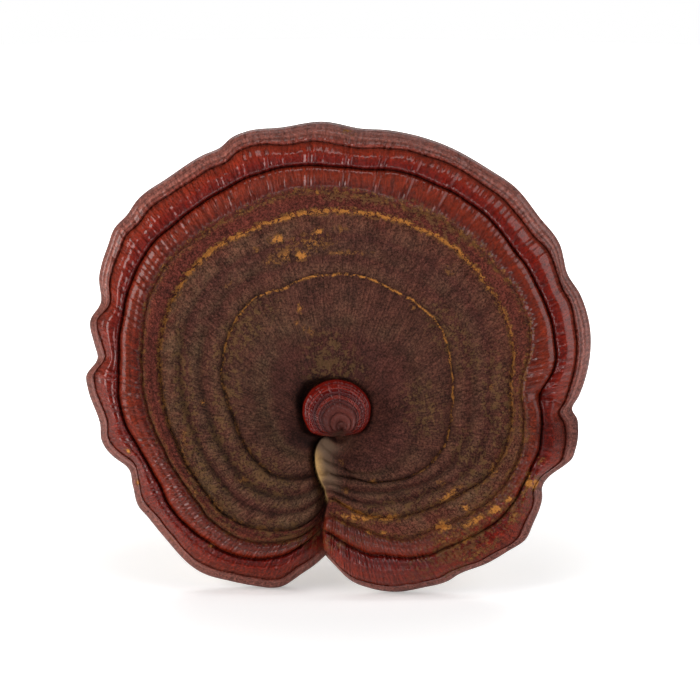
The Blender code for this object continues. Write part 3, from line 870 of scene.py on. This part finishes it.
# Soft veils of olive dust over the matt skin: u, v, length, width, tilt, strength
VEILS = (
    (-2, 22, 9, 7, 90, 0.62), (4, 20, 6, 5, 0, 0.45), (-35, 8, 16, 4.5, 80, 0.45),
    (-24, -14, 12, 6, -40, 0.6), (-12, -33, 16, 3.4, -8, 0.6), (-47, 4, 26, 3.2, 97, 0.6),
    (-40, -18, 14, 4, -60, 0.6), (-30, 32, 15, 5, 50, 0.5), (38, 30, 16, 6, -55, 0.35),
    (52, 8, 18, 5, -85, 0.45), (45, -12, 14, 6, -70, 0.4), (22, -24, 16, 4, 10, 0.5),
    (28, 8, 10, 7, -80, 0.3), (34, 66, 14, 2.6, -28, 0.6), (10, 74.5, 16, 1.6, -4, 0.5),
    (40, -36, 14, 5, 28, 0.8), (56, -24, 9, 5, 45, 0.5),
)
# Strength of the ochre line on the inner ring, the ochre ring and the lacquer edge, by bearing
OCHRE_LINES = (
    (
        (-113, 0), (-60, 0.22), (-30, 0.42), (0, 0.75), (50, 0.82), (105, 0.82), (150, 0.62), (175, 0.4),
        (247, 0),
    ),
    (
        (-97, 0.1), (-88, 0.5), (-84, 0.95), (-60, 0.9), (-48, 0.3), (-20, 0.36), (10, 0.56), (35, 0.7),
        (65, 0.82), (95, 0.85), (125, 0.9), (140, 0.66), (160, 0.52), (200, 0.36), (263, 0.05),
    ),
    (
        (-98, 0.1), (-60, 0.3), (-20, 0.3), (15, 0.42), (40, 0.36), (70, 0.4), (100, 0.34), (125, 0.34),
        (150, 0.28), (200, 0.2), (262, 0.2),
    ),
)


def patches(table, u, v):
    """The strongest of a table of soft oval patches at each place."""
    found = np.zeros(len(u))
    for at_u, at_v, length, width, tilt, strength in table:
        turned = math.radians(tilt)
        along = (u - at_u) * math.cos(turned) + (v - at_v) * math.sin(turned)
        across = (v - at_v) * math.cos(turned) - (u - at_u) * math.sin(turned)
        found = np.maximum(found, strength * np.exp(-((along / length) ** 2) - (across / width) ** 2))
    return found


def cap_marks(turn, growth, u, v):
    """What the cap's skin carries at each place, by name: dust with a few painted highlights among its
    patches, olive tone that is partly painted light, painted shade in the creases, hollow and cleft, lacquer
    and pale edges.
    """
    shown = np.clip(growth, 0, 6)
    distance, rings = radii(turn, shown)
    degrees = bearings(turn, shown)
    angle = np.radians(degrees)
    on_face = growth < 6.01
    reach, on_left = cleft_reach(turn, distance)
    lines = [straight(table, bearings(turn, ring)) for ring, table in enumerate(OCHRE_LINES, 1)]

    low_side = np.maximum(step(120, 165, degrees), 0.65 * (1 - step(-25, 20, degrees)))
    # Painted shade in the folds and creases of the rings, round the hollow and down the cleft
    shade = np.zeros(len(turn))
    for at, strength, low_strength, width in FOLDS:
        gap = ring_gap(shown, rings, at)
        tail = 0.4 if at < 3.1 else 0.08
        line = (1 - tail) * np.exp(-gap / width) + tail * np.exp(-gap / (4 * width))
        shade = np.maximum(shade, (strength + (low_strength - strength) * low_side) * line)
    for strength, bearing, spread, low, high in FADED_FOLDS:
        shade *= 1 - strength * near(degrees, bearing, spread) * step(low, high, growth)
    for strength, bearing, spread, at, width in SHADOWS:
        shade = np.maximum(shade, strength * near(degrees, bearing, spread) * near(growth, at, width))
    for strength, bearing, spread, low, high in OUTER_SHADOWS:
        shade = np.maximum(shade, strength * near(degrees, bearing, spread) * step(low, high, growth))
    # Painted shade in a thin crease on the rim's roll
    shade = np.maximum(shade, 0.45 * near(growth, 6.16, 0.05))
    # Painted shade round the hollow, fading out on the right
    shade = np.maximum(shade, 0.3 * near(growth, 0.42, 0.2) * (1 - near(degrees, 0, 70)))

    tongue = np.where(on_left, 0, near(np.maximum(reach - 3, 0), 0, 3.5) * step(0.12, 0.3, growth))
    tongue *= 1 - step(1.1, 1.9, growth)
    shade *= 1 - tongue
    # Painted shade down the cleft, weaker across the outer bands
    cleft = near(reach, 0, 0.5) * step(0.3, 0.8, growth) * (1 - 0.6 * step(3, 4, growth))
    shade = np.maximum(shade, 0.7 * cleft)
    shade = np.maximum(shade, 0.5 * near(degrees, 0, 8) * step(3.3, 4, growth))
    # Olive by growth is partly dust and partly painted light beside the creases, with more of it from the top
    # round to the left and bottom
    olive = straight(OLIVE, shown) * (0.45 + 0.55 * step(60, 170, degrees) + 0.3 * near(degrees, -40, 30))
    low_right = near(degrees, -28, 40) * step(1.9, 2.1, growth) * (1 - step(3.2, 3.8, growth))
    olive = np.maximum(olive, 0.9 * low_right)
    lip_width = 1.3 - 0.7 * step(1, 1.4, growth)
    lip = near(reach, 0.6 * lip_width, lip_width) * step(0.45, 0.8, growth) * (1 - step(1.8, 2.2, growth))
    lacquer = step(2.75, 3.5, growth) * (1 - 0.7 * near(degrees, -36, 18))
    lacquer *= 1 - 0.4 * step(5.9, 6.3, growth) - 0.6 * step(6.6, 6.95, growth)
    lacquer *= 1 - 0.7 * near(degrees, 0, 8)
    lacquer *= 1 - 0.5 * near(degrees, 168, 26) * (1 - step(3.9, 4.05, growth))
    lacquer *= 1 - 0.6 * near(degrees, 238, 24) * step(3.9, 4.3, growth)
    return {
        "growth": growth,
        "rings": np.column_stack([np.where(on_face, distance - ring, 50) for ring in rings[1:4]]),
        "ring_dust": np.column_stack(lines),
        "patch": 1.15 * patches(DUST_AND_HIGHLIGHT_PATCHES, u, v) * on_face,
        "veil": patches(VEILS, u, v) * on_face,
        "olive": olive,
        "shade": shade * (growth < 6.5),
        "lacquer": lacquer,
        "tongue": tongue,
        "pale": np.where(on_left, 0, lip),
        "fan": np.column_stack((np.cos(angle), np.sin(angle), growth)),
    }


def face_rows():
    """The growth of every line round the face, closer together beside the rings."""
    rows = [0.0]
    for first, last, count in FACE_SPANS:
        for index in range(1, count + 1):
            even = index / count
            eased = 0.5 - 0.5 * math.cos(math.pi * even)
            rows.append(first + (last - first) * (0.5 * even + 0.5 * eased))
    return np.array(rows)


class ReishiSettings(bpy.types.PropertyGroup):
    """What a user would change."""

    lacquer_strength: bpy.props.FloatProperty(
        name="Lacquer", description="How much clear lacquer the outer bands carry",
        default=0.55, min=0, max=1, subtype="FACTOR",
    )
    camera_distance: bpy.props.FloatProperty(
        name="Camera Distance", description="How far the camera stands from the cap's face",
        default=VIEW_DISTANCE * MM, unit="LENGTH",
    )
    view_width: bpy.props.FloatProperty(
        name="View Width", description="Width that the camera takes in at the cap's face", default=0.224,
        unit="LENGTH",
    )
    floor_colour: bpy.props.FloatVectorProperty(
        name="Floor Colour", description="Colour of the floor", default=(0.93, 0.93, 0.93), size=3,
        subtype="COLOR",
    )


def cap_places(turn, line, rows):
    """Face places of every point of the closed cap, and its growth."""
    face_lines = len(rows)
    u, v, w = (np.zeros(len(turn)) for _ in range(3))
    growth = np.zeros(len(turn))

    on_face = line < face_lines
    growth[on_face] = rows[line[on_face]]
    u[on_face], v[on_face], w[on_face] = face(turn[on_face], growth[on_face])

    on_rim = (line >= face_lines) & (line < face_lines + RIM_STEPS)
    share = (line[on_rim] - face_lines + 1) / (RIM_STEPS + 1)
    u[on_rim], v[on_rim], w[on_rim] = rim(turn[on_rim], share)
    growth[on_rim] = 6 + share

    below = line >= face_lines + RIM_STEPS
    share = 1 - (line[below] - face_lines - RIM_STEPS) / BACK_STEPS
    u[below], v[below], w[below] = underside(turn[below], share)
    growth[below] = 8 - share
    return u, v, w, growth


class REISHI_OT_add_cap(bpy.types.Operator):
    """Grow the large ringed cap, with its cleft, rim and pore surface"""

    bl_idname = "reishi.add_cap"
    bl_label = "Add Cap"

    def execute(self, context):
        rows = face_rows()
        lines = len(rows) + RIM_STEPS + BACK_STEPS
        fine = (int(np.searchsorted(rows, FINE_FROM)), len(rows) + RIM_STEPS)
        mesh, even, line = charted("reishi_cap", CAP_TURNS, lines, fine)
        turn = even - 0.02 * np.sin(4 * np.pi * even)
        u, v, w, growth = cap_places(turn, line, rows)
        places = leaned(u, v, w) + stand()
        for name, values in cap_marks(turn, growth, u, v).items():
            mark(mesh, name, values)
        cap = closed_piece(mesh, places, cap_skin(context.scene.reishi))
        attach(cap, "root")
        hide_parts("cap")
        return {"FINISHED"}


def bud_rows():
    """The share of the outline at every line of the young cap: out over its face, then in under it."""
    out = np.linspace(0, 1, BUD_FACE_LINES)
    reaches, heights = np.array(BUD_UNDERSIDE).T
    back = np.linspace(0, 1, BUD_UNDER_LINES)[1:]
    along = np.linspace(0, 1, len(reaches))
    shares = np.concatenate((out, np.interp(back, along, reaches), (0,)))
    levels = np.concatenate((curve(BUD_FACE, out), np.interp(back, along, heights), heights[-1:]))
    return shares, levels


class REISHI_OT_add_young_cap(bpy.types.Operator):
    """Grow the small glossy cap that buds from the middle"""

    bl_idname = "reishi.add_young_cap"
    bl_label = "Add Young Cap"

    def execute(self, context):
        shares, levels = bud_rows()
        mesh, even, line = charted("reishi_young_cap", BUD_TURNS, len(shares) - 1)
        degrees = -90 + ROUND * even
        angle = np.radians(degrees)
        share = shares[line]
        w = levels[line].copy()
        on_face = line < BUD_FACE_LINES
        outline = curve(BUD_OUTLINE, degrees) + 0.1 * rippled(angle, 1.3, 5, 9, 14)
        start_u = np.where(on_face, BUD_NECK[0], BUD_CENTRE[0])
        start_v = np.where(on_face, BUD_NECK[1], BUD_CENTRE[1])
        u = start_u + share * (BUD_CENTRE[0] + outline * np.cos(angle) - start_u)
        v = start_v + share * (BUD_CENTRE[1] + outline * np.sin(angle) - start_v)

        # Rings bend a little as they run round, and sit closer together at the sides
        bent = share + (0.012 * np.sin(2 * angle + 1) + 0.004 * np.sin(5 * angle + 2)) * np.sin(np.pi * share)
        shade = np.zeros(len(line))
        # Each roll starts at a groove, cut in a little and darkened with painted shade
        for first, last, height in BUD_ROLLS:
            w += height * swell(bent, first, last) ** 0.7 * on_face
            groove = np.exp(-np.abs(bent - first) / 0.008) * on_face * (0.35 + height)
            shade = np.maximum(shade, groove)
            w -= 0.3 * groove
        w += 0.19 * rippled(angle, 0.9, 37, 53, 71) * step(0.3, 0.6, share) * on_face
        w += 0.25 * unevenness(u, v, 4, 12.5) * on_face * step(0, 0.2, share)
        low = near(degrees, -90, 28) + near(degrees, ROUND - 90, 28)
        w -= 0.9 * low * step(0.5, 1, share) * on_face
        mark(mesh, "growth", np.where(on_face, bent, 2 - share))
        mark(mesh, "shade", np.minimum(shade, 0.8))
        mark(mesh, "tongue", low * 0.9)
        bud = closed_piece(mesh, leaned(u, v, w) + stand(), young_cap_skin(context.scene.reishi))
        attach(bud, "root")
        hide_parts("young_cap")
        return {"FINISHED"}


def stem_line(t):
    """The middle of the stem along its length, from behind the cap (0) to its cut (1), and its direction."""
    lean = leaning()
    start = lean @ Vector((0, -(STEM_PATCH_W + 1.0) * MM, 0)) + Vector(stand())
    end = Vector((start.x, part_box("stem")[1].y - STEM_CUT_IN * MM, 0))
    out = (lean @ Vector((0, 1, 0))).normalized()
    knots = (start, start + out * STEM_RUN_OUT * MM, end + Vector((0, 0, STEM_RUN_DOWN * MM)), end)
    weights = ((1 - t) ** 3, 3 * t * (1 - t) ** 2, 3 * t * t * (1 - t), t**3)
    slopes = (3 * (1 - t) ** 2, 6 * t * (1 - t), 3 * t * t)
    middle = sum(weight[:, None] * np.array(knot) for weight, knot in zip(weights, knots))
    along = sum(slope[:, None] * np.array(b - a) for slope, a, b in zip(slopes, knots, knots[1:]))
    return middle, along / np.linalg.norm(along, axis=1)[:, None]


class REISHI_OT_add_stem(bpy.types.Operator):
    """Grow the stem behind the cap, down to its flat cut"""

    bl_idname = "reishi.add_stem"
    bl_label = "Add Stem"

    def execute(self, context):
        rings, cut_rings = STEM_RINGS, STEM_CUT_RINGS
        mesh, even, line = charted("reishi_stem", STEM_TURNS, rings + cut_rings + 1)
        angle = 2 * np.pi * even
        t = np.clip((line - 1) / rings, 0, 1)
        around = np.column_stack((np.cos(angle), np.sin(angle)))
        ridges = 1 + 0.05 * np.sin(3 * angle + 5 * t) + 0.03 * np.sin(5 * angle - 9 * t)
        coarse = np.column_stack((around * 2.2, t * 7))
        rough = np.array([noise.fractal(Vector(spot), 1.0, 2.0, 4) for spot in coarse])
        fades = step(0, 0.04, t) * (1 - step(0.97, 1, t))
        inward = np.clip(1 - (line - rings - 1) / cut_rings, 0, 1)
        inward[line == 0] = 0
        radius = (curve(STEM_RADIUS, t) * ridges + 0.55 * rough * fades) * inward
        middle, along = stem_line(t)
        side = np.array((1.0, 0, 0))
        up = np.cross(side, along)
        across, over = (radius * around.T * STEM_OVAL)[:, :, None] * MM
        growth = t + (1 - inward) * 0.5 * (line > rings)
        broad = np.column_stack((around * 1.4, t * 5 + 3))
        ochre = 0.12 + 0.3 * np.array([noise.noise(Vector(spot)) for spot in broad])
        mark(mesh, "growth", growth)
        mark(mesh, "ochre", np.where(growth > 1, 0, ochre))
        mark(mesh, "fan", np.column_stack((around, t)))
        stem = closed_piece(mesh, middle + side * across + up * over, stem_skin(context.scene.reishi))
        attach(stem, "root")
        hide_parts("stem")
        return {"FINISHED"}


# The floor's own glow, and how far out the darker part under the mushroom reaches, where the weaker glow is
# painted shade
FLOOR_GLOW = (1, 0.98, 0.955, 1)
SHADE_REACH = (0.06, 0.19)
SHADE_GLOW = 0.34
# The world as it lights the scene, and as the camera sees it
WORLD_LIGHT = (0.08, 0.08, 0.085, 1)
BACKDROP = (1, 1, 1, 1)
# Soft lights: name, place, what it is aimed at, width and height, watts and colour
LIGHTS = (
    ("left_softbox", (-0.72, -0.34, 0.24), (0, 0, 0.07), (0.46, 0.66), 6.7, (1, 0.98, 0.97)),
    ("right_softbox", (0.75, -0.26, 0.38), (0, 0, 0.07), (0.66, 0.9), 4.7, (0.95, 0.97, 1)),
    ("top_softbox", (0.05, -0.12, 0.95), (0, 0, 0.05), (0.5, 0.16), 0.95, (1, 1, 1)),
    ("table_glow", (0, -0.34, 0.02), (0, 0, 0.12), (0.4, 0.02), 0.25, (1, 1, 1)),
    ("back_softbox", (0, 0.8, 0.75), (0, 0, 0), (1.2, 0.5), 5.6, (1, 1, 1)),
)
FLOOR_RADIUS = 1.2
FLOOR_SIDES = 96
SENSOR_WIDTH = 36


def soft_light(name, place, aim, size, power, colour):
    """A soft rectangular studio light."""
    data = bpy.data.lights.new(name, "AREA")
    data.shape = "RECTANGLE"
    data.size, data.size_y = size
    data.energy = power
    data.color = colour
    lamp = bpy.data.objects.new(name, data)
    bpy.context.scene.collection.objects.link(lamp)
    lamp.visible_camera = False
    lamp.location = place
    lamp.rotation_euler = (Vector(aim) - Vector(place)).to_track_quat("-Z", "Y").to_euler()


def round_floor(colour):
    """A plain round floor that the camera sees glowing, less so under the mushroom, which is painted shade
    there.
    """
    mesh = bpy.data.meshes.new("floor")
    ground = bmesh.new()
    bmesh.ops.create_circle(ground, cap_ends=True, segments=FLOOR_SIDES, radius=FLOOR_RADIUS)
    ground.to_mesh(mesh)
    ground.free()
    floor = bpy.data.objects.new("floor", mesh)
    bpy.context.scene.collection.objects.link(floor)
    material, tree, shader, place = new_skin("plain_floor")
    away = add(tree, "ShaderNodeVectorMath", {0: place}, operation="LENGTH").outputs["Value"]
    seen = add(tree, "ShaderNodeLightPath").outputs["Is Camera Ray"]
    feed(tree, shader, {
        "Base Color": (*colour, 1),
        "Roughness": 0.9,
        "Specular IOR Level": 0.1,
        "Emission Color": FLOOR_GLOW,
        "Emission Strength": times(tree, fit(tree, away, *SHADE_REACH, SHADE_GLOW, 1.0), seen),
    })
    mesh.materials.append(material)
    return floor


def studio_world():
    """A world that lights the scene softly and looks white to the camera."""
    world = bpy.data.worlds.new("studio")
    bpy.context.scene.world = world
    world.use_nodes = True
    tree = world.node_tree
    seen = add(tree, "ShaderNodeLightPath").outputs["Is Camera Ray"]
    feed(tree, tree.nodes["Background"], {"Color": blend(tree, seen, WORLD_LIGHT, BACKDROP)})


def front_camera(distance, width):
    """A camera square to the cap's face, that takes in so much width there."""
    scene = bpy.context.scene
    lean = leaning()
    target = lean @ (Vector((VIEW_CENTRE[0], 0, VIEW_CENTRE[1])) * MM) + Vector(stand())
    data = bpy.data.cameras.new("camera")
    data.sensor_width = SENSOR_WIDTH
    data.lens = SENSOR_WIDTH * distance / width
    camera = bpy.data.objects.new("camera", data)
    scene.collection.objects.link(camera)
    camera.location = target + lean @ Vector((0, -distance, 0))
    camera.rotation_euler = (target - camera.location).to_track_quat("-Z", "Y").to_euler()
    scene.camera = camera


class REISHI_OT_set_stage(bpy.types.Operator):
    """Lay the pale floor, hang the soft lights and set the camera"""

    bl_idname = "reishi.set_stage"
    bl_label = "Set Stage"

    def execute(self, context):
        settings = context.scene.reishi
        floor = round_floor(settings.floor_colour)
        studio_world()
        for light in LIGHTS:
            soft_light(*light)
        front_camera(settings.camera_distance, settings.view_width)
        context.scene.view_settings.view_transform = "Standard"
        return {"FINISHED"}


class REISHI_PT_panel(bpy.types.Panel):
    """The mushroom's settings and pieces, in the sidebar"""

    bl_label = "Reishi"
    bl_idname = "REISHI_PT_panel"
    bl_space_type = "VIEW_3D"
    bl_region_type = "UI"
    bl_category = "Reishi"

    def draw(self, context):
        settings = context.scene.reishi
        for name in ("lacquer_strength", "camera_distance", "view_width", "floor_colour"):
            self.layout.prop(settings, name)
        for piece in PIECES:
            self.layout.operator(piece.bl_idname)


PIECES = (REISHI_OT_add_cap, REISHI_OT_add_young_cap, REISHI_OT_add_stem, REISHI_OT_set_stage)
CLASSES = (ReishiSettings, *PIECES, REISHI_PT_panel)


def register():
    for each in CLASSES:
        bpy.utils.register_class(each)
    bpy.types.Scene.reishi = bpy.props.PointerProperty(type=ReishiSettings)


def unregister():
    del bpy.types.Scene.reishi
    for each in reversed(CLASSES):
        bpy.utils.unregister_class(each)


def main():
    register()
    bpy.ops.reishi.add_cap()
    bpy.ops.reishi.add_young_cap()
    bpy.ops.reishi.add_stem()
    bpy.ops.reishi.set_stage()


if __name__ == "__main__":
    main()
